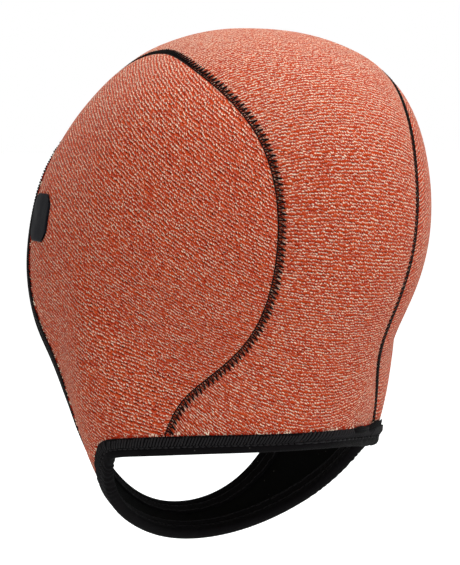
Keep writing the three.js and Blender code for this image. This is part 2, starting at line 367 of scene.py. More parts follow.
def new_object(name, data):
    made = bpy.data.objects.new(name, data)
    bpy.context.scene.collection.objects.link(made)
    return made


def new_piece(name, points, faces, material):
    """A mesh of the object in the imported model's frame, in metres, riding on its one body."""
    mesh = bpy.data.meshes.new(name)
    places = (np.asarray(points).reshape(-1, 3) - SEAT) * METRE
    mesh.from_pydata(places.tolist(), [], faces)
    mesh.materials.append(material)
    mesh.shade_smooth()
    piece = new_object(name, mesh)
    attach(piece, "root")
    return piece


def grid_faces(rows, columns, closed_rows=False, closed_columns=False):
    """Quads over a grid of rows and columns, whose last ones may join the first."""
    faces = []
    for row in range(rows if closed_rows else rows - 1):
        for column in range(columns if closed_columns else columns - 1):
            near, far = row * columns, (row + 1) % rows * columns
            beside = (column + 1) % columns
            faces.append((near + column, far + column, far + beside, near + beside))
    return faces


def rim_of(faces):
    """The edges that only one face has, in that face's direction."""
    edges = {}
    for face in faces:
        for a, b in zip(face, face[1:] + face[:1]):
            if (b, a) in edges:
                del edges[(b, a)]
            else:
                edges[(a, b)] = True
    return list(edges)


def sheet_piece(name, outer, inner, material, closed=False):
    """A closed sheet of cloth between two grids of points."""
    rows, columns = outer.shape[:2]
    count = rows * columns
    top = grid_faces(rows, columns, closed)
    under = [tuple(index + count for index in face[::-1]) for face in top]
    walls = [(b, a, a + count, b + count) for a, b in rim_of(top)]
    points = np.concatenate([outer.reshape(-1, 3), inner.reshape(-1, 3)])
    return new_piece(name, points, top + under + walls, material)


def give_places(piece, name, values):
    """A vector on each point of a piece, which its material reads as a place on the cloth."""
    layer = piece.data.attributes.new(name, "FLOAT_VECTOR", "POINT")
    layer.data.foreach_set("vector", np.asarray(values, dtype=float).reshape(-1))


# Nodes of materials and of stitch trees.
def add(tree, kind, sockets=None, **settings):
    """Adds a node. Each socket, by name or place, gets a value or another node's output."""
    made = tree.nodes.new(kind)
    for name, value in settings.items():
        setattr(made, name, value)
    for key, value in (sockets or {}).items():
        if isinstance(value, bpy.types.NodeSocket):
            tree.links.new(value, made.inputs[key])
        else:
            made.inputs[key].default_value = value
    return made


def maths(tree, operation, *values):
    return add(tree, "ShaderNodeMath", dict(enumerate(values)), operation=operation).outputs[0]


def eased(tree, value, low, high):
    """A share that goes smoothly from 0 at one value to 1 at another."""
    sockets = {"Value": value, "From Min": low, "From Max": high}
    return add(tree, "ShaderNodeMapRange", sockets, interpolation_type="SMOOTHSTEP").outputs[0]


def mixed(tree, share, first, second):
    sockets = {0: share, 6: first, 7: second}
    return add(tree, "ShaderNodeMix", sockets, data_type="RGBA").outputs[2]


def clouds(tree, place, scale, detail=1.0):
    sockets = {"Vector": place, "Scale": scale, "Detail": detail}
    return add(tree, "ShaderNodeTexNoise", sockets).outputs[0]


def split_clouds(tree, place, scale):
    """Three independent clouds of one size, each round zero."""
    sockets = {"Vector": place, "Scale": scale, "Detail": 1.0}
    coloured = add(tree, "ShaderNodeTexNoise", sockets).outputs[1]
    channels = add(tree, "ShaderNodeSeparateColor", {0: coloured}).outputs
    return [maths(tree, "SUBTRACT", channel, 0.5) for channel in channels]


def new_effect(name, inputs, outputs):
    """An empty shader node group, its inputs given as a name with a kind and a value."""
    tree = bpy.data.node_groups.new(name, "ShaderNodeTree")
    for label, (kind, value) in inputs.items():
        socket = tree.interface.new_socket(label, in_out="INPUT", socket_type=kind)
        if value is not None:
            socket.default_value = value
    for label in outputs:
        tree.interface.new_socket(label, in_out="OUTPUT", socket_type="NodeSocketFloat")
    return tree, tree.nodes.new("NodeGroupInput").outputs, tree.nodes.new("NodeGroupOutput").inputs


# The heather ribs. Clouds bend and speckle them: their scales are for each millimetre, and their
# reaches say how far they move a rib. Edges are where a yarn, a dash, a pale place, a lit grain,
# a gap of painted shade or a speck of that painted shade starts and ends. The top light's shares
# say how much the painted light on the cap's top widens and adds pale yarn and thins the painted shade.
DRIFT_SCALE = 0.13
DRIFT_REACH = 4.0
BEND_SCALE = 0.7
BEND_REACH = 1.6
GRAIN_SCALE = 1.7
YARN_FUZZ = 0.6
TOP_LIGHT_ON_YARN = -0.07
YARN_EDGES = (0.1, 0.29)
DASH_FUZZ = 0.5
DASH_EDGES = (0.32, 0.56)
PALE_PATCHES = 0.3
TOP_LIGHT_ON_PALE = 0.3
PALE_EDGES = (-0.35, 0.5)
LIT_EDGES = (0.1, 0.75)
GAP_PLACE = 0.3
GAP_FUZZ = 0.4
GAP_EDGES = (0.05, 0.3)
TOP_LIGHT_ON_GAP_SHADE = -0.4
GAP_SHADE_SHARE = 0.88
SHADE_GRAIN_EDGES = (0.1, 0.8)
FLECK_SWELL = 0.5
GRAIN_SWELL = 0.3


def make_heather_ribs():
    """Ribs of heather knit: dashes of pale yarn over red loops, with painted shade in specks beside
    them.

    The place's third value is a share of painted light on the cap's top, which brings more pale yarn
    and less painted shade.
    """
    inputs = {
        "Place": ("NodeSocketVector", None),
        "Rib Pitch": ("NodeSocketFloat", 1.58),
        "Dash Length": ("NodeSocketFloat", 1.3),
        "Wobble": ("NodeSocketFloat", 0.35),
        "Slant": ("NodeSocketFloat", 0.25),
        "Stray": ("NodeSocketFloat", 0.45),
        "Grain": ("NodeSocketFloat", 3.2),
    }
    tree, given, out = new_effect("heather_ribs", inputs, ("Fleck", "Painted Groove Shade", "Dye", "Height"))
    place = given["Place"]
    drift, patch, _ = split_clouds(tree, place, DRIFT_SCALE)
    bend_across, bend_along, _ = split_clouds(tree, place, BEND_SCALE)
    edge, spark, shade_speck_cloud = split_clouds(tree, place, GRAIN_SCALE)
    split = add(tree, "ShaderNodeSeparateXYZ", {0: place}).outputs
    # The third value is painted light on the cap's top: it widens and adds pale yarn and thins the
    # painted shade, and below zero it darkens the knit.
    painted_top_light = split[2]
    bend = maths(tree, "MULTIPLY", bend_across, BEND_REACH)
    bend = maths(tree, "MULTIPLY_ADD", drift, DRIFT_REACH, bend)
    across = maths(tree, "MULTIPLY_ADD", bend, given["Wobble"], split[1])
    rib_place = maths(tree, "DIVIDE", across, given["Rib Pitch"])
    rib_number = maths(tree, "FLOOR", rib_place)
    rib_offset = maths(tree, "SUBTRACT", maths(tree, "FRACT", rib_place), 0.5)
    jump = add(tree, "ShaderNodeTexWhiteNoise", {"W": rib_number}, noise_dimensions="1D").outputs[0]
    along = maths(tree, "ADD", maths(tree, "DIVIDE", split[0], given["Dash Length"]), jump)
    along = maths(tree, "ADD", along, bend_along)
    dash_number = maths(tree, "FLOOR", along)
    dash_offset = maths(tree, "SUBTRACT", maths(tree, "FRACT", along), 0.5)
    cell = add(tree, "ShaderNodeCombineXYZ", {0: dash_number, 1: rib_number}).outputs[0]
    chance = add(tree, "ShaderNodeTexWhiteNoise", {"Vector": cell}, noise_dimensions="2D").outputs
    dyes = add(tree, "ShaderNodeSeparateColor", {0: chance[1]}).outputs
    stray = maths(tree, "SUBTRACT", dyes[1], 0.5)
    middle = maths(tree, "MULTIPLY_ADD", dash_offset, given["Slant"], rib_offset)
    middle = maths(tree, "MULTIPLY_ADD", stray, given["Stray"], middle)
    from_yarn = maths(tree, "MULTIPLY_ADD", edge, YARN_FUZZ, maths(tree, "ABSOLUTE", middle))
    from_yarn = maths(tree, "MULTIPLY_ADD", painted_top_light, TOP_LIGHT_ON_YARN, from_yarn)
    from_dash = maths(tree, "MULTIPLY_ADD", edge, DASH_FUZZ, maths(tree, "ABSOLUTE", dash_offset))
    thread = maths(tree, "SUBTRACT", 1.0, eased(tree, from_yarn, *YARN_EDGES))
    length = maths(tree, "SUBTRACT", 1.0, eased(tree, from_dash, *DASH_EDGES))
    luck = maths(tree, "MULTIPLY_ADD", painted_top_light, TOP_LIGHT_ON_PALE, chance[0])
    luck = maths(tree, "MULTIPLY_ADD", patch, PALE_PATCHES, luck)
    lit = maths(tree, "ADD", maths(tree, "MULTIPLY", spark, given["Grain"]), 0.5)
    lit = eased(tree, lit, *LIT_EDGES)
    paleness = maths(tree, "MULTIPLY", eased(tree, luck, *PALE_EDGES), lit)
    fleck = maths(tree, "MULTIPLY", paleness, maths(tree, "MULTIPLY", thread, length))
    # The gap beside each yarn and its dark specks are painted shade, darkening the grooves between the
    # ribs.
    below = maths(tree, "ABSOLUTE", maths(tree, "ADD", middle, GAP_PLACE))
    below = maths(tree, "MULTIPLY_ADD", edge, GAP_FUZZ, below)
    gap_shade = maths(tree, "SUBTRACT", 1.0, eased(tree, below, *GAP_EDGES))
    gap_shade = maths(tree, "MULTIPLY", gap_shade, maths(tree, "MULTIPLY_ADD", painted_top_light, TOP_LIGHT_ON_GAP_SHADE, GAP_SHADE_SHARE))
    dark = maths(tree, "MULTIPLY_ADD", shade_speck_cloud, given["Grain"], 0.5)
    dark = eased(tree, dark, *SHADE_GRAIN_EDGES)
    loops = maths(tree, "SUBTRACT", 0.5, maths(tree, "ABSOLUTE", rib_offset))
    swell = maths(tree, "MULTIPLY_ADD", fleck, FLECK_SWELL, loops)
    tree.links.new(fleck, out["Fleck"])
    tree.links.new(maths(tree, "MULTIPLY", gap_shade, dark), out["Painted Groove Shade"])
    tree.links.new(dyes[2], out["Dye"])
    tree.links.new(maths(tree, "MULTIPLY_ADD", edge, GRAIN_SWELL, swell), out["Height"])
    return tree


# The fine jersey's fibres, lint and faded places, with scales for each millimetre.
FIBRE_SCALE = 3.0
FIBRE_SWELL = 0.6
LINT_SCALE = 0.16
LINT_EDGES = (0.02, 0.06)
FADED_SCALE = 0.08


def make_fine_jersey():
    """Fine close loops of black cloth, with a few pale bits of lint."""
    inputs = {
        "Place": ("NodeSocketVector", None),
        "Pitch": ("NodeSocketFloat", 0.6),
        "Lean": ("NodeSocketFloat", 0.5),
    }
    tree, given, out = new_effect("fine_jersey", inputs, ("Height", "Lint", "Cloud"))
    place = given["Place"]
    split = add(tree, "ShaderNodeSeparateXYZ", {0: place}).outputs
    turn = maths(tree, "DIVIDE", 2 * math.pi, given["Pitch"])
    leaning = maths(tree, "MULTIPLY_ADD", split[1], given["Lean"], split[0])
    warp = maths(tree, "SINE", maths(tree, "MULTIPLY", leaning, turn))
    weft = maths(tree, "SINE", maths(tree, "MULTIPLY", split[1], turn))
    loops = maths(tree, "MULTIPLY_ADD", maths(tree, "MULTIPLY", warp, weft), 0.5, 0.5)
    fibre = clouds(tree, place, FIBRE_SCALE, 2.0)
    sockets = {"Vector": place, "Scale": LINT_SCALE}
    specks = add(tree, "ShaderNodeTexVoronoi", sockets).outputs["Distance"]
    bare = eased(tree, specks, *LINT_EDGES)
    tree.links.new(maths(tree, "MULTIPLY_ADD", fibre, FIBRE_SWELL, loops), out["Height"])
    tree.links.new(maths(tree, "SUBTRACT", 1.0, bare), out["Lint"])
    tree.links.new(clouds(tree, place, FADED_SCALE, 2.0), out["Cloud"])
    return tree


HEATHER_RIBS = make_heather_ribs()
FINE_JERSEY = make_fine_jersey()

RED_YARN = (0.42, 0.027, 0.008, 1)
ORANGE_YARN = (0.55, 0.065, 0.016, 1)
PALE_YARN = (0.9, 0.71, 0.55, 1)
# The colour of the painted shade in the grooves between the ribs.
PAINTED_GROOVE_SHADE = (0.02, 0.0005, 0.0003, 1)
BLACK_TAPE = (0.003, 0.0026, 0.003, 1)
BLACK_LINING = (0.002, 0.002, 0.002, 1)
BLACK_SEAM_THREAD = (0.0025, 0.002, 0.002, 1)
# The tape's thread is black like the seam's but painted lighter, as a painted highlight on its
# cover-stitch ridges.
BLACK_TAPE_THREAD = (0.009, 0.0082, 0.009, 1)
BLACK_FILM = (0.004, 0.004, 0.006, 1)
LINT = (0.07, 0.065, 0.06, 1)

# How many times lighter the faded, fibrous or scuffed places of the black finishes are.
CLOTH_FADE = 2.2
THREAD_FADE = 3
FILM_FADE = 2
# Heights of the finishes' relief, the scales of their clouds for each millimetre, and roughness as
# what a cloud adds and where it starts.
KNIT_RELIEF = 0.3
THREAD_RELIEF = 0.08
THREAD_SCALE = 2.2
THREAD_ROUGHNESS = (0.3, 0.45)
YARN_SCALE = 0.45
YARN_COLOUR_EDGES = (0.5, 0.64)
FILM_RELIEF = 0.06
FILM_GRAIN_SCALE = 1.6
FILM_SCUFF_SCALE = 0.12
FILM_ROUGHNESS = (0.35, 0.3)


def new_material(name, **settings):
    """A material whose plain numbers and colours are set on the shader's own sockets."""
    material = bpy.data.materials.new(name)
    material.use_nodes = True
    shader = material.node_tree.nodes["Principled BSDF"]
    for label, value in settings.items():
        shader.inputs[label.replace("_", " ")].default_value = value
    return material, material.node_tree, shader


def lightened(colour, times):
    return tuple(times * channel for channel in colour[:3]) + (1,)


def give_relief(tree, shader, height, depth):
    """Bumps a surface by a height of up to a depth in millimetres."""
    bump = add(tree, "ShaderNodeBump", {"Height": height, "Distance": depth * METRE})
    tree.links.new(bump.outputs[0], shader.inputs["Normal"])


def make_heather_knit():
    material, tree, shader = new_material(
        "heather_knit", Roughness=0.95, Sheen_Weight=0.14, Sheen_Roughness=0.3,
        Sheen_Tint=(1, 0.86, 0.72, 1), Specular_IOR_Level=0.04)
    place = add(tree, "ShaderNodeAttribute", attribute_name="knit_place").outputs["Vector"]
    ribs = add(tree, "ShaderNodeGroup", node_tree=HEATHER_RIBS)
    tree.links.new(place, ribs.inputs["Place"])
    yarn = mixed(tree, ribs.outputs["Dye"], RED_YARN, ORANGE_YARN)
    heather = mixed(tree, ribs.outputs["Fleck"], yarn, PALE_YARN)
    # The grooves between the ribs are darkened towards this colour as painted shade.
    with_painted_shade = mixed(tree, ribs.outputs["Painted Groove Shade"], heather, PAINTED_GROOVE_SHADE)
    tree.links.new(with_painted_shade, shader.inputs["Base Color"])
    give_relief(tree, shader, ribs.outputs["Height"], KNIT_RELIEF)
    return material


def make_black_cloth(name, colour, place_name, pitch, lean, depth, **settings):
    material, tree, shader = new_material(name, **settings)
    place = add(tree, "ShaderNodeAttribute", attribute_name=place_name).outputs["Vector"]
    weave = add(tree, "ShaderNodeGroup", node_tree=FINE_JERSEY)
    tree.links.new(place, weave.inputs["Place"])
    weave.inputs["Pitch"].default_value = pitch
    weave.inputs["Lean"].default_value = lean
    cloth = mixed(tree, weave.outputs["Cloud"], colour, lightened(colour, CLOTH_FADE))
    tree.links.new(mixed(tree, weave.outputs["Lint"], cloth, LINT), shader.inputs["Base Color"])
    give_relief(tree, shader, weave.outputs["Height"], depth)
    return material


def make_sewing_thread(name, dark):
    material, tree, shader = new_material(name, Specular_IOR_Level=0.06)
    place = add(tree, "ShaderNodeTexCoord").outputs["Object"]
    fibres = clouds(tree, place, THREAD_SCALE / METRE, 2.0)
    colour = mixed(tree, fibres, dark, lightened(dark, THREAD_FADE))
    tree.links.new(colour, shader.inputs["Base Color"])
    rough = maths(tree, "MULTIPLY_ADD", fibres, *THREAD_ROUGHNESS)
    tree.links.new(rough, shader.inputs["Roughness"])
    give_relief(tree, shader, fibres, THREAD_RELIEF)
    return material


def make_loose_yarn():
    """Yarn ends of the knit, each stretch of them pale or red by chance."""
    material, tree, shader = new_material("loose_yarn", Roughness=0.95, Specular_IOR_Level=0.08)
    place = add(tree, "ShaderNodeTexCoord").outputs["Object"]
    share = eased(tree, clouds(tree, place, YARN_SCALE / METRE), *YARN_COLOUR_EDGES)
    tree.links.new(mixed(tree, share, RED_YARN, PALE_YARN), shader.inputs["Base Color"])
    return material


def make_patch_film():
    material, tree, shader = new_material("patch_film", Specular_IOR_Level=0.04)
    place = add(tree, "ShaderNodeTexCoord").outputs["Object"]
    grain = clouds(tree, place, FILM_GRAIN_SCALE / METRE, 3.0)
    scuffs = clouds(tree, place, FILM_SCUFF_SCALE / METRE, 4.0)
    colour = mixed(tree, scuffs, BLACK_FILM, lightened(BLACK_FILM, FILM_FADE))
    tree.links.new(colour, shader.inputs["Base Color"])
    rough = maths(tree, "MULTIPLY_ADD", scuffs, *FILM_ROUGHNESS)
    tree.links.new(rough, shader.inputs["Roughness"])
    give_relief(tree, shader, grain, FILM_RELIEF)
    return material


KNIT = make_heather_knit()
LINING = make_black_cloth(
    "black_jersey", BLACK_LINING, "lining_place", pitch=0.9, lean=0.5, depth=0.1, Roughness=0.95,
    Sheen_Weight=0.01, Specular_IOR_Level=0.03)
TAPE = make_black_cloth(
    "binding_tape", BLACK_TAPE, "tape_place", pitch=0.7, lean=1.0, depth=0.12, Roughness=0.8,
    Sheen_Weight=0.035, Sheen_Roughness=0.3, Specular_IOR_Level=0.03)
SEAM_THREAD = make_sewing_thread("seam_thread", BLACK_SEAM_THREAD)
TAPE_THREAD = make_sewing_thread("tape_thread", BLACK_TAPE_THREAD)
FILM = make_patch_film()
YARN = make_loose_yarn()

# Direction of the ribs on the flattened side panels: this far below level towards the back.
# On the right the cloth is cut nearer to level and drawn wider, so its ribs lie further apart.
LEFT_RIB_DROP = 31
RIGHT_RIB_DROP = 16
RIGHT_RIB_SHARE = 0.88
# The knit is pulled longer over the cheek, from this far behind the ear to this far before it.
STRETCH_FROM = -45
STRETCH_TO = 60
STRETCH_SHARE = 0.5
# Where the painted light on the cap's top goes from its least to its most: heights over the ear on the
# side panels, with painted shade below and paler yarn above, and turns on the centre panel, palest
# from the crown forward and fading towards the nape.
SIDE_TOP_LIGHT_HEIGHTS = (50, 100)
SIDE_TOP_LIGHT_SHARES = (-0.25, 0.6)
CENTRE_TOP_LIGHT_TURNS = (98, 165)
CENTRE_TOP_LIGHT_SHARES = (1.4, 0)
EAR_STEPS = 24
CENTRE_TURNS = np.linspace(0, 270, 541)
# How far the centre panel's ribs climb for each millimetre towards the left.
CENTRE_SKEW = 0.06


def side_knit(points):
    """Place on the flattened side panel, along and across its ribs from the ear, and its share of
    painted top light.
    """
    turn = np.radians(turn_of(points))
    tilt = np.abs(tilt_of(points))
    steps = np.linspace(0, 1, EAR_STEPS + 1)
    tilts = 90 + (tilt[..., None] - 90) * steps
    walk = skin_point(np.degrees(turn)[..., None] + 0 * steps, tilts)
    reach = np.linalg.norm(np.diff(walk, axis=-2), axis=-1).sum(axis=-1)
    forward, up = reach * np.cos(turn), reach * np.sin(turn)
    pulled = np.clip(forward - STRETCH_FROM, 0, STRETCH_TO - STRETCH_FROM)
    past = np.maximum(0, forward - STRETCH_TO)
    forward = forward - STRETCH_SHARE * (pulled**2 / (2 * (STRETCH_TO - STRETCH_FROM)) + past)
    on_left = points[..., 0] > 0
    drop = np.radians(np.where(on_left, LEFT_RIB_DROP, RIGHT_RIB_DROP))
    share = np.where(on_left, 1, RIGHT_RIB_SHARE)
    along = -share * (forward * np.cos(drop) + up * np.sin(drop))
    across = share * (up * np.cos(drop) - forward * np.sin(drop))
    return np.stack([along, across, np.interp(up, SIDE_TOP_LIGHT_HEIGHTS, SIDE_TOP_LIGHT_SHARES)], -1)


def centre_knit(points):
    """Place on the centre panel, where the ribs run from seam to seam, and its share of painted top
    light.
    """
    lengths = lengths_along(skin_point(CENTRE_TURNS, 0 * CENTRE_TURNS))
    turn = turn_of(points) % 360
    reach = np.hypot(points[..., 1], points[..., 2])
    across = np.interp(turn, CENTRE_TURNS, lengths)
    along = np.arcsin(np.clip(points[..., 0] / HALF_WIDTH, -1, 1)) * (HALF_WIDTH + reach) / 2
    painted_top_light = np.interp(turn, CENTRE_TOP_LIGHT_TURNS, CENTRE_TOP_LIGHT_SHARES)
    return np.stack([along, across + CENTRE_SKEW * along, painted_top_light], -1)


# How the panels sink at their seams and are pressed under the tape.
SEAM_SINK = 0.9
SEAM_SINK_WIDTH = 1.1
SEAM_DIP = 0.55
SEAM_DIP_WIDTH = 5
TAPE_PRESS = 0.25
TAPE_PRESS_MARGIN = 0.4
SEAM_EASE = 0.12
# The lining stands up a little along the seams.
LINING_RIDGE = 0.35
LINING_RIDGE_WIDTH = 1.4


def knit_height(points):
    seam = seam_distance(points)
    edge = np.minimum(distance_to(FACE_EDGE, points), distance_to(NECK_EDGE, points))
    sunk = SEAM_SINK * np.exp(-((seam / SEAM_SINK_WIDTH) ** 2))
    dipped = SEAM_DIP * np.exp(-((seam / SEAM_DIP_WIDTH) ** 2))
    pressed = TAPE_PRESS * np.clip(TAPE_WIDTH + TAPE_PRESS_MARGIN - edge, 0, 1)
    return -(sunk + dipped + pressed)


def eased_from_seams(grid):
    """Draws the first and last lines of a grid a little towards their neighbours."""
    moved = grid.copy()
    moved[0] += unit(grid[1] - grid[0]) * SEAM_EASE
    moved[-1] += unit(grid[-2] - grid[-1]) * SEAM_EASE
    return moved


def make_panel(name, node, grid, knit):
    points = eased_from_seams(grid)
    outer = raised(points, knit_height(points))
    inner = raised(points, -PANEL_THICKNESS)
    panel = sheet_piece(name, outer, inner, KNIT)
    # The knit place's third value carries the painted light on the cap's top.
    places = knit(points)
    give_places(panel, "knit_place", np.concatenate([places.reshape(-1, 3)] * 2))
    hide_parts(node)


def make_lining():
    loop = np.concatenate([LEFT, RIGHT[1:-1], CENTRE[:-1]])
    seam = seam_distance(loop)
    outer = raised(loop, -PANEL_THICKNESS - LAYER_GAP)
    ridge = LINING_RIDGE * np.exp(-((seam / LINING_RIDGE_WIDTH) ** 2))
    inner = raised(loop, -CLOTH_THICKNESS + ridge)
    lining = sheet_piece("lining_cloth", outer, inner, LINING, closed=True)
    steps = np.linalg.norm(np.diff(loop, axis=1), axis=-1)
    along = np.concatenate([np.zeros((len(loop), 1)), np.cumsum(steps, axis=1)], axis=1)
    middle = loop[:, COLUMNS_BETWEEN // 2]
    across = np.broadcast_to(lengths_along(middle)[:, None], along.shape)
    places = np.stack([along, across, 0 * along], -1).reshape(-1, 3)
    give_places(lining, "lining_place", np.concatenate([places] * 2))
    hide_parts("lining")


# A tape's section: the needle line's place on each leg, the rolled edge beside it, and the leg's
# thinned end.
NEEDLE_INSET = 3.1
NEEDLE_GROOVE = 0.5
NEEDLE_GROOVE_WIDTH = 0.55
ROLL_INSET = 1
ROLL_HEIGHT = 0.3
ROLL_WIDTH = 1.3
LEG_END_WIDTH = 0.9
LEG_END_THINNING = 0.7
LEG_ROWS = 16
FOLD_ROWS = 9
TAPE_UNDER = 0.1
TAPE_UNDER_FOLD = 0.2


def leg_profile():
    """Insets and heights over the skin, from the end of a tape's outer leg to the cloth's edge."""
    inset = np.linspace(TAPE_WIDTH, 0, LEG_ROWS)
    inset[0] += TAPE_UNDER
    end = np.clip((inset - inset[0] + LEG_END_WIDTH) / LEG_END_WIDTH, 0, 1)
    groove = NEEDLE_GROOVE * np.exp(-(((inset - NEEDLE_INSET) / NEEDLE_GROOVE_WIDTH) ** 2))
    roll = ROLL_HEIGHT * np.exp(-(((inset - ROLL_INSET) / ROLL_WIDTH) ** 2))
    height = TAPE_UNDER + TAPE_THICKNESS * (1 - LEG_END_THINNING * end**2) + roll - groove
    return np.stack([inset, height], -1)


def tape_profile():
    leg = leg_profile()
    low = leg[::-1] * (1, -1) - (0, CLOTH_THICKNESS)
    turn = np.linspace(90, -90, FOLD_ROWS + 2)[1:-1]
    half = leg[-1, 1] + CLOTH_THICKNESS / 2
    fold_inset = -TAPE_FOLD * np.cos(np.radians(turn))
    fold_height = half * np.sin(np.radians(turn)) - CLOTH_THICKNESS / 2
    fold = np.stack([fold_inset, fold_height], -1)
    under_insets = np.array([TAPE_WIDTH, TAPE_WIDTH / 2, -TAPE_UNDER_FOLD])
    under = np.stack([under_insets, TAPE_UNDER + 0 * under_insets], -1)
    inside = under * (1, -1) - (0, CLOTH_THICKNESS)
    return np.concatenate([leg, fold, low, inside, under[::-1]])


def inward_of(edge):
    """Directions in the skin, from each point of an edge towards the cloth."""
    along = np.roll(edge, -1, axis=0) - np.roll(edge, 1, axis=0)
    return unit(np.cross(skin_normal(edge), along))


def tape_line(edge, inset, height):
    """Points beside an edge, at an inset into the cloth and a height over the skin."""
    inward = inward_of(edge)
    base = onto_skin(edge + inward * max(inset, 0))
    return raised(base, height) + inward * min(inset, 0)


# Gathers in the neck tape where the strap leaves the corner below each ear: how high they stand,
# how far apart they are, how they lean, and the heights between which they come and go.
GATHER_HEIGHT = 0.22
GATHER_LENGTH = 3.6
GATHER_LEAN = 0.5
GATHER_DRIFT = 4
GATHER_DRIFT_SIZE = 8
GATHER_HEIGHTS = (-124, -108, -94, -87)
GATHER_SHARES = (0, 1, 1, 0)
GATHER_LEVEL = 0.55
GATHER_ON_STITCHES = 0.45


def gather_waves(edge, girth):
    """Heights of the gathers at each station of the neck tape, at one place round its section."""
    lengths = lengths_along(edge)
    spots = [Vector((length, girth, 0)) / GATHER_DRIFT_SIZE for length in lengths]
    drift = np.array([noise.noise(spot) for spot in spots])
    place = lengths + GATHER_LEAN * girth + GATHER_DRIFT * drift
    share = np.interp(edge[:, 2], GATHER_HEIGHTS, GATHER_SHARES) * (GATHER_LEVEL + drift)
    return GATHER_HEIGHT * share * np.sin(2 * math.pi * place / GATHER_LENGTH)


# The neck tape's ends lie over each other beside the right seam, as a thick puckered place. Its
# lengths are measured along the tape from the spot where it is widest, towards the right corner.
OVERLAP_SPOT_X = -58.5
OVERLAP_LENGTHS = (-40, -14, 4, 12)
OVERLAP_SHARES = (0, 1, 1, 0)
OVERLAP_HEIGHT = 1.0
WIDENING_LENGTHS = (-38, -12, 0, 9)
WIDENING_SHARES = (0, 0.35, 1, 0)
OVERLAP_WIDTH = 3.2
FOLD_SHARE = 0.9
PUCKER_HEIGHT = 0.5
PUCKER_SIZE = 2.8
NAPE_FROM_Y = NECK_CORNER_Y + 10


def nape_station(edge, x):
    """The station of the neck tape round the nape that lies nearest to a place across the cap."""
    off_nape = edge[:, 1] < NAPE_FROM_Y
    return np.argmin(np.where(off_nape, np.inf, np.abs(edge[:, 0] - x)))


def from_overlap(edge):
    """How far along the neck tape each station lies from the widest spot of its overlapped ends."""
    lengths = lengths_along(edge)
    return lengths - lengths[nape_station(edge, OVERLAP_SPOT_X)]


def overlap_height(edge, points):
    """How far the overlapped, puckered ends lift a line of points at the neck tape's stations."""
    share = np.interp(from_overlap(edge), OVERLAP_LENGTHS, OVERLAP_SHARES)
    puckers = [noise.noise(Vector(point) / PUCKER_SIZE) for point in points]
    return share * (OVERLAP_HEIGHT + PUCKER_HEIGHT * np.array(puckers))


# The cut end of the neck tape, turned up on the thick place into two small folds. Each is given by
# its place across the cap, its half length and half width, its inset from the tape's edge and how
# much farther in its end towards the right corner lies than its middle.
END_FOLDS = (
    {"x": -34.5, "half_length": 8, "half_width": 1.9, "inset": 7.1, "climb": -0.2},
    {"x": -48, "half_length": 9, "half_width": 1.5, "inset": 8.3, "climb": 1.5},
)
END_FOLD_HEIGHT = 1.6
END_FOLD_UNDER = 0.6
END_FOLD_CELLS = 16
END_FOLD_TAPER = 0.9
CREASE_DEPTH = 0.55
CREASE_PLACE = 0.15
CREASE_WIDTH = 0.2


def make_end_fold(name, fold):
    spot = nape_station(NECK_EDGE, fold["x"])
    share = np.sin(np.linspace(-1, 1, END_FOLD_CELLS + 1) * math.pi / 2)
    a, b = np.meshgrid(share, share, indexing="ij")
    inward = inward_of(NECK_EDGE)[spot]
    along = unit(NECK_EDGE[spot + 1] - NECK_EDGE[spot - 1])
    outline = np.sqrt(1 - END_FOLD_TAPER * a**2)
    inset = fold["inset"] + fold["half_width"] * b * outline + fold["climb"] * a
    beside = (a * fold["half_length"])[..., None] * along
    points = onto_skin(NECK_EDGE[spot] + beside + inset[..., None] * inward)
    base = TAPE_UNDER + TAPE_THICKNESS + OVERLAP_HEIGHT - END_FOLD_UNDER
    dome = np.sqrt(np.maximum(0, (1 - a**2) * (1 - b**2)))
    crease = 1 - CREASE_DEPTH * np.exp(-(((b - CREASE_PLACE) / CREASE_WIDTH) ** 2))
    outer = raised(points, base + END_FOLD_HEIGHT * dome * crease)
    inner = raised(points, base - END_FOLD_UNDER + 0 * dome)
    piece = sheet_piece(name, outer, inner, TAPE)
    places = np.stack([a * fold["half_length"], b * fold["half_width"], 0 * a], -1).reshape(-1, 3)
    give_places(piece, "tape_place", np.concatenate([places] * 2))


# The middle of a tape's section, from which it swells, and how far past the needle line it does so
# freely.
SWELL_MIDDLE = (1.5, -CLOTH_THICKNESS / 2)
SWELL_MARGIN = 2


def make_tape(name, node, edge, gathered):
    profile = tape_profile()
    lengths = lengths_along(edge)
    girth = lengths_along(profile)
    lines = []
    for (inset, height), place in zip(profile, girth):
        away = unit(np.array([inset, height]) - SWELL_MIDDLE)
        line = tape_line(edge, inset, height)
        lift = skin_normal(edge) * away[1] + inward_of(edge) * away[0]
        if gathered:
            held = 1 if inset < NEEDLE_INSET + SWELL_MARGIN else GATHER_ON_STITCHES
            on_leg = inset > -TAPE_UNDER
            on_top = np.clip(height / TAPE_THICKNESS, 0, 1) if on_leg else FOLD_SHARE
            swell = held * gather_waves(edge, place) + on_top * overlap_height(edge, line)
            wider = np.interp(from_overlap(edge), WIDENING_LENGTHS, WIDENING_SHARES)
            wider = wider * on_top * OVERLAP_WIDTH * np.clip(inset / TAPE_WIDTH, 0, 1) ** 2
            line = line + lift * swell[:, None] + inward_of(line) * wider[:, None]
        lines.append(line)
    points = np.stack(lines, axis=1)
    faces = grid_faces(*points.shape[:2], closed_rows=True, closed_columns=True)
    tape = new_piece(name, points, faces, TAPE)
    mesh = bmesh.new()
    mesh.from_mesh(tape.data)
    bmesh.ops.recalc_face_normals(mesh, faces=mesh.faces)
    mesh.to_mesh(tape.data)
    mesh.free()
    places = np.stack(np.broadcast_arrays(lengths[:, None], girth[None], 0.0), -1)
    give_places(tape, "tape_place", places)
    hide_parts(node)


# The plain patch on the left cheek.
PATCH_TURN = 18
PATCH_TILT = 66.5
PATCH_LENGTH = 32
PATCH_HEIGHT = 22
PATCH_CORNER = 4
PATCH_CORNER_FROM = 0.5
PATCH_THICKNESS = 0.6
PATCH_UNDER = 0.05
PATCH_RIM = 0.06
PATCH_RIM_DROP = 0.6
PATCH_CELLS = 24


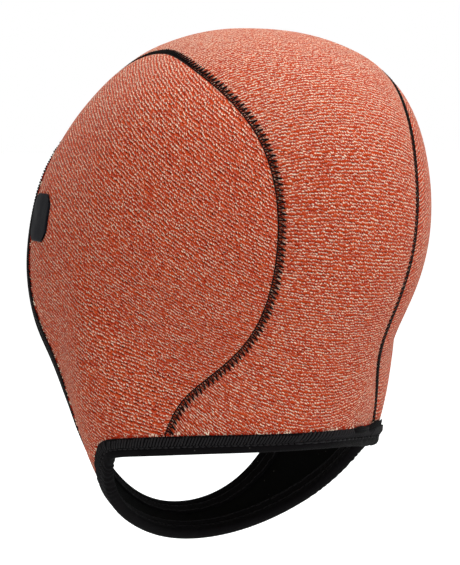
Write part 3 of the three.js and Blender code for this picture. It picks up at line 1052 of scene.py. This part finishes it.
def make_patch():
    centre = skin_point(np.array(PATCH_TURN), np.array(PATCH_TILT))
    normal = skin_normal(centre)
    up = unit(np.array([0, 0, 1]) - normal * normal[2])
    along = np.cross(normal, up)
    share = np.sin(np.linspace(-1, 1, PATCH_CELLS + 1) * math.pi / 2)
    a, b = np.meshgrid(share, share, indexing="ij")

    def squeezed(share, other, half):
        in_corner = np.maximum(0, np.abs(other) - PATCH_CORNER_FROM) / (1 - PATCH_CORNER_FROM)
        return share * (half - PATCH_CORNER * in_corner**4 * np.abs(share))

    side = squeezed(a, b, PATCH_LENGTH / 2)[..., None] * along
    rise = squeezed(b, a, PATCH_HEIGHT / 2)[..., None] * up
    points = onto_skin(centre + side - rise)
    rim = np.maximum(np.abs(a), np.abs(b))
    on_rim = np.clip((rim - 1 + PATCH_RIM) / PATCH_RIM, 0, 1)
    outer = raised(points, LAYER_GAP + PATCH_THICKNESS * (1 - PATCH_RIM_DROP * on_rim**2))
    inner = raised(points, PATCH_UNDER)
    patch = sheet_piece("cheek_patch_film", outer, inner, FILM)
    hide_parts("cheek_patch")


# Thread strokes of one stitch, as points along its path, across it and out of the cloth.
THREAD_RADIUS = 0.28
COVER_THREAD_RADIUS = 0.42
COVER_STITCH_LENGTH = 2.8
THREAD_SIDES = 5
STITCH_LENGTH = 2.5
SEAM_THREAD_DEPTH = 0.6
SEAM_STROKES = (
    ((-0.3, -1.35, 0.0), (1.2, -1.5, 0.15), (2.7, -1.35, 0.0)),
    ((0.0, -1.2, 0.1), (0.8, 0.5, 0.05), (1.65, 2.05, 0.1)),
    ((1.7, 2.05, 0.1), (1.4, 0.5, 0.05), (1.5, -1.2, 0.1)),
)
COVER_STROKES = (
    ((0.3, -0.1, -0.5), (1.4, -0.1, -0.1), (2.5, -0.1, -0.5)),
    ((0.0, 0.6, -0.15), (1.0, 2.5, 0.15), (2.0, 4.4, -0.15)),
    ((1.4, 0.6, -0.15), (2.4, 2.5, 0.15), (3.4, 4.4, -0.15)),
)
# The same seam towards and over the overlapped ends of the neck tape, in longer stitches.
DOUBLED_STROKES = (
    ((0.2, -0.2, -0.5), (1.9, -0.2, -0.1), (3.6, -0.2, -0.5)),
    ((0.0, 0.7, -0.25), (1.4, 2.8, 0.35), (2.8, 4.9, -0.25)),
    ((2.0, 0.7, -0.25), (3.4, 2.8, 0.35), (4.8, 4.9, -0.25)),
)
DOUBLED_THREAD_RADIUS = 0.48
DOUBLED_STITCH_LENGTH = 4.0
DOUBLED_FROM = -76
DOUBLED_TO = 10
NEEDLE_STROKES = (
    ((0.0, 0.0, -0.1), (1.25, 0.0, 0.1), (2.5, 0.0, -0.1)),
    ((0.0, 3.6, -0.1), (1.25, 3.6, 0.1), (2.5, 3.6, -0.1)),
)
# Ends of the knit's yarn that stand out from under a tape.
FRINGE_STROKES = (
    ((0.1, -0.3, -0.1), (0.35, 0.5, 0.25), (0.8, 1.1, -0.15)),
    ((1.3, -0.3, -0.1), (1.0, 0.35, 0.2), (1.1, 0.8, -0.15)),
)
FRINGE_RADIUS = 0.22
FRINGE_LENGTH = 1.7
FRINGE_UNEVENNESS = 0.4


def stitch_object(name, strokes, radius):
    """One stitch as a small mesh of thread, in metres, which the tree below repeats."""
    points, faces = [], []
    for stroke in strokes:
        path = np.array(stroke)
        along = unit(np.gradient(path, axis=0))
        side = unit(np.cross(along, (0, 0, 1)))
        over = np.cross(side, along)
        start = len(points)
        for place, aside, above in zip(path, side, over):
            for turn in np.arange(THREAD_SIDES) * 2 * math.pi / THREAD_SIDES:
                points.append(place + radius * (aside * math.cos(turn) + above * math.sin(turn)))
        tube = grid_faces(len(path), THREAD_SIDES, closed_columns=True)
        faces += [tuple(start + index for index in face) for face in tube]
        faces.append(tuple(start + k for k in range(THREAD_SIDES)))
        faces.append(tuple(len(points) - 1 - k for k in range(THREAD_SIDES)))
    mesh = bpy.data.meshes.new(name)
    mesh.from_pydata((np.array(points) * METRE).tolist(), [], faces)
    mesh.shade_smooth()
    return bpy.data.objects.new(name, mesh)


def make_sewing_tree():
    """Geometry Nodes that repeat a stitch along a path, turned to the path and out of the cloth."""
    tree = bpy.data.node_groups.new("sewn_along_path", "GeometryNodeTree")
    for label, kind in (
        ("Path", "Geometry"),
        ("Stitch", "Object"),
        ("Stitch Length", "Float"),
        ("Unevenness", "Float"),
        ("Seed", "Int"),
        ("Thread", "Material"),
    ):
        tree.interface.new_socket(label, in_out="INPUT", socket_type="NodeSocket" + kind)
    tree.interface.new_socket("Stitches", in_out="OUTPUT", socket_type="NodeSocketGeometry")
    given = tree.nodes.new("NodeGroupInput").outputs
    curve = add(tree, "GeometryNodeMeshToCurve", {"Mesh": given["Path"]}).outputs[0]
    sockets = {"Curve": curve, "Length": given["Stitch Length"]}
    spots = add(tree, "GeometryNodeResampleCurve", sockets, mode="LENGTH").outputs[0]
    lift = add(tree, "GeometryNodeInputNamedAttribute", {"Name": "lift"}, data_type="FLOAT_VECTOR")
    tangent = add(tree, "GeometryNodeInputTangent").outputs[0]
    axes = {"Primary Axis": lift.outputs[0], "Secondary Axis": tangent}
    upright = add(
        tree, "FunctionNodeAxesToRotation", axes, primary_axis="Z", secondary_axis="X").outputs[0]
    least = maths(tree, "SUBTRACT", 0.0, given["Unevenness"])
    chance = {2: least, 3: given["Unevenness"], "Seed": given["Seed"]}
    twist = add(tree, "FunctionNodeRandomValue", chance, data_type="FLOAT").outputs[1]
    euler = add(tree, "ShaderNodeCombineXYZ", {2: twist}).outputs[0]
    nudge = add(tree, "FunctionNodeEulerToRotation", {0: euler}).outputs[0]
    turned = {"Rotation": upright, "Rotate By": nudge}
    turn = add(tree, "FunctionNodeRotateRotation", turned, rotation_space="LOCAL").outputs[0]
    size = maths(tree, "ADD", twist, 1.0)
    stitch = add(tree, "GeometryNodeObjectInfo", {"Object": given["Stitch"]}).outputs["Geometry"]
    copies = {"Points": spots, "Instance": stitch, "Rotation": turn, "Scale": size}
    laid = add(tree, "GeometryNodeInstanceOnPoints", copies).outputs[0]
    real = add(tree, "GeometryNodeRealizeInstances", {"Geometry": laid}).outputs[0]
    finish = {"Geometry": real, "Material": given["Thread"]}
    sewn = add(tree, "GeometryNodeSetMaterial", finish).outputs[0]
    tree.links.new(sewn, tree.nodes.new("NodeGroupOutput").inputs[0])
    return tree


SEWING = make_sewing_tree()
UNEVENNESS = 0.07
# How far a seam's stitches run in under the first tape and end before the last, and the step of
# their path.
UNDER_TAPE = 0.6
BEFORE_TAPE = 1.8
PATH_STEP = 1.0


def sew(name, stitch, points, lift, seed, thread, closed=False, spacing=STITCH_LENGTH):
    """Sews copies of a stitch along points, as one plain mesh of thread or of the knit's yarn."""
    fringe = thread == YARN
    count = len(points)
    edges = [(k, (k + 1) % count) for k in range(count if closed else count - 1)]
    path_mesh = bpy.data.meshes.new(name)
    path_mesh.from_pydata(((points - SEAT) * METRE).tolist(), edges, [])
    layer = path_mesh.attributes.new("lift", "FLOAT_VECTOR", "POINT")
    layer.data.foreach_set("vector", lift.astype(float).reshape(-1))
    path = new_object(name + "_path", path_mesh)
    modifier = path.modifiers.new("sewn", "NODES")
    modifier.node_group = SEWING
    sockets = {item.name: item.identifier for item in SEWING.interface.items_tree}
    modifier[sockets["Stitch"]] = stitch
    modifier[sockets["Stitch Length"]] = spacing * METRE
    modifier[sockets["Unevenness"]] = FRINGE_UNEVENNESS if fringe else UNEVENNESS
    modifier[sockets["Seed"]] = seed
    modifier[sockets["Thread"]] = thread
    evaluated = path.evaluated_get(bpy.context.evaluated_depsgraph_get())
    mesh = bpy.data.meshes.new_from_object(evaluated)
    path.modifiers.remove(modifier)
    bpy.data.objects.remove(path)
    mesh.name = name
    sewn = new_object(name, mesh)
    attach(sewn, "root")


def seam_path(line):
    """The open stretch of a seam between the tapes, with its directions out of the cloth."""
    lengths = lengths_along(line)
    start = TAPE_WIDTH - UNDER_TAPE
    end = lengths[-1] - TAPE_WIDTH - BEFORE_TAPE
    wanted = np.linspace(start, end, int((end - start) / PATH_STEP))
    points = np.stack([np.interp(wanted, lengths, column) for column in line.T], -1)
    return raised(points, -SEAM_THREAD_DEPTH), skin_normal(points)


def sew_seams():
    flat = stitch_object("flat_stitch", SEAM_STROKES, THREAD_RADIUS)
    for name, line, seed in (
        ("seam_stitches_left", LEFT_SEAM, 1),
        ("seam_stitches_right", RIGHT_SEAM[::-1], 2),
        ("chin_seam_stitches", CHIN_SEAM, 3),
    ):
        points, lift = seam_path(line)
        sew(name, flat, points, lift, seed, SEAM_THREAD)


def sew_tapes():
    cover = stitch_object("cover_stitch", COVER_STROKES, COVER_THREAD_RADIUS)
    doubled = stitch_object("doubled_cover_stitch", DOUBLED_STROKES, DOUBLED_THREAD_RADIUS)
    needle = stitch_object("needle_stitch", NEEDLE_STROKES, THREAD_RADIUS)
    loops = stitch_object("yarn_ends", FRINGE_STROKES, FRINGE_RADIUS)
    top = TAPE_UNDER + TAPE_THICKNESS
    for name, edge, seed in (("face", FACE_EDGE, 4), ("neck", NECK_EDGE, 6)):
        outer = tape_line(edge, NEEDLE_INSET, top)
        lift = skin_normal(outer)
        path, path_lift = outer, lift
        if name == "neck":
            outer = outer + lift * overlap_height(edge, outer)[:, None]
            first, last = np.searchsorted(from_overlap(edge), (DOUBLED_FROM, DOUBLED_TO))
            sew(
                "neck_tape_doubled_stitches", doubled, outer[first:last], lift[first:last], 5,
                TAPE_THREAD, spacing=DOUBLED_STITCH_LENGTH)
            path = np.concatenate([outer[last:], outer[:first]])
            path_lift = np.concatenate([lift[last:], lift[:first]])
        sew(
            name + "_tape_stitches_outside", cover, path, path_lift, seed, TAPE_THREAD,
            closed=name == "face", spacing=COVER_STITCH_LENGTH)
        inner = tape_line(edge, NEEDLE_INSET, -CLOTH_THICKNESS - top)[::-1]
        sew(
            name + "_tape_stitches_inside", needle, inner, -lift[::-1], seed + 1, TAPE_THREAD,
            closed=True)
        border = tape_line(edge, TAPE_WIDTH, TAPE_UNDER)
        sew(
            name + "_tape_yarn_ends", loops, border, skin_normal(border), seed + 7, YARN, closed=True,
            spacing=FRINGE_LENGTH)


make_panel("centre_panel_cloth", "centre_panel", CENTRE, centre_knit)
make_panel("side_panel_left_cloth", "side_panel_left", LEFT, side_knit)
make_panel("side_panel_right_cloth", "side_panel_right", RIGHT, side_knit)
make_lining()
make_tape("face_binding_tape", "face_binding", FACE_EDGE, gathered=False)
make_tape("neck_binding_tape", "neck_binding", NECK_EDGE, gathered=True)
for number, end_fold in enumerate(END_FOLDS, 1):
    make_end_fold(f"neck_tape_end_fold_{number}", end_fold)
make_patch()
sew_seams()
sew_tapes()

# The studio: a pale floor below the cap, a white surround, soft lights and the camera.
CAMERA_AZIMUTH = 150
CAMERA_ELEVATION = 3
CAMERA_DISTANCE = 1.5
CAMERA_AIM = Vector((0.0025, -0.0112, -0.1113))
FOCAL_PIXELS = 3315
FRAME_HEIGHT_PIXELS = 565
SENSOR_HEIGHT = 24
FLOOR_Z = -0.36
FLOOR_SIZE = 40
FLOOR_GLOW = 0.05
FLOOR_GLOW_SEEN = 0.7
FLOOR_PALE = (0.9, 0.9, 0.9, 1)
FLOOR_DULL = (0.86, 0.86, 0.86, 1)
FLOOR_CLOUD_SCALE = 1.5
WHITE = (1, 1, 1, 1)
SURROUND_SEEN = 1.0
SURROUND_CAST = 0.36

NEUTRAL = (1, 1, 1)
PALE = (0.9, 1, 0.88)
COOL = (0.84, 1, 1.03)
WARM = (1, 0.84, 0.58)
LIGHTS = (
    {"name": "key_light", "place": (0.02, 1.15, 1.12), "size": 0.9, "power": 17.9, "colour": NEUTRAL},
    {"name": "right_rim_light", "place": (-1.3, 0.15, 0.55), "size": 0.7, "power": 5.4, "colour": PALE},
    {"name": "left_rim_light", "place": (0.75, -0.55, 0.9), "size": 0.7, "power": 3, "colour": WARM},
    {"name": "crown_light", "place": (-0.1, -0.1, 1.4), "size": 1.0, "power": 14.5, "colour": COOL},
)


def make_floor():
    material, tree, shader = new_material("studio_floor", Roughness=0.9, Emission_Color=WHITE)
    seen = add(tree, "ShaderNodeLightPath").outputs["Is Camera Ray"]
    glow = maths(tree, "MULTIPLY_ADD", seen, FLOOR_GLOW_SEEN, FLOOR_GLOW)
    tree.links.new(glow, shader.inputs["Emission Strength"])
    place = add(tree, "ShaderNodeTexCoord").outputs["Object"]
    colour = mixed(tree, clouds(tree, place, FLOOR_CLOUD_SCALE), FLOOR_PALE, FLOOR_DULL)
    tree.links.new(colour, shader.inputs["Base Color"])
    signs = ((-1, -1), (1, -1), (1, 1), (-1, 1))
    corners = [(x * FLOOR_SIZE / 2, y * FLOOR_SIZE / 2, FLOOR_Z) for x, y in signs]
    mesh = bpy.data.meshes.new("studio_floor")
    mesh.from_pydata(corners, [], [(0, 1, 2, 3)])
    mesh.materials.append(material)
    floor = new_object("studio_floor", mesh)


def make_light(name, place, size, power, colour):
    light = bpy.data.lights.new(name, "AREA")
    light.color = colour
    light.size = size
    light.energy = power
    lamp = new_object(name, light)
    lamp.location = place
    lamp.rotation_euler = (CAMERA_AIM - Vector(place)).to_track_quat("-Z", "Y").to_euler()


def make_surround():
    """A white room that lights the cap less than it shows."""
    world = bpy.data.worlds.new("white_surround")
    world.use_nodes = True
    tree = world.node_tree
    tree.nodes.clear()
    white = {"Color": WHITE, "Strength": SURROUND_SEEN}
    dim = {"Color": WHITE, "Strength": SURROUND_CAST}
    seen = add(tree, "ShaderNodeBackground", white).outputs[0]
    cast = add(tree, "ShaderNodeBackground", dim).outputs[0]
    camera_ray = add(tree, "ShaderNodeLightPath").outputs["Is Camera Ray"]
    both = add(tree, "ShaderNodeMixShader", {0: camera_ray, 1: cast, 2: seen}).outputs[0]
    add(tree, "ShaderNodeOutputWorld", {"Surface": both})
    bpy.context.scene.world = world


def make_camera():
    azimuth, elevation = math.radians(CAMERA_AZIMUTH), math.radians(CAMERA_ELEVATION)
    level = math.cos(elevation)
    away = Vector((math.sin(azimuth) * level, -math.cos(azimuth) * level, math.sin(elevation)))
    data = bpy.data.cameras.new("photo_camera")
    data.sensor_fit = "VERTICAL"
    data.sensor_height = SENSOR_HEIGHT
    data.lens = SENSOR_HEIGHT * FOCAL_PIXELS / FRAME_HEIGHT_PIXELS
    camera = new_object("photo_camera", data)
    camera.location = CAMERA_AIM + away * CAMERA_DISTANCE
    camera.rotation_euler = (-away).to_track_quat("-Z", "Y").to_euler()
    bpy.context.scene.camera = camera


make_floor()
make_surround()
for light in LIGHTS:
    make_light(**light)
make_camera()
bpy.context.scene.view_settings.view_transform = "Standard"
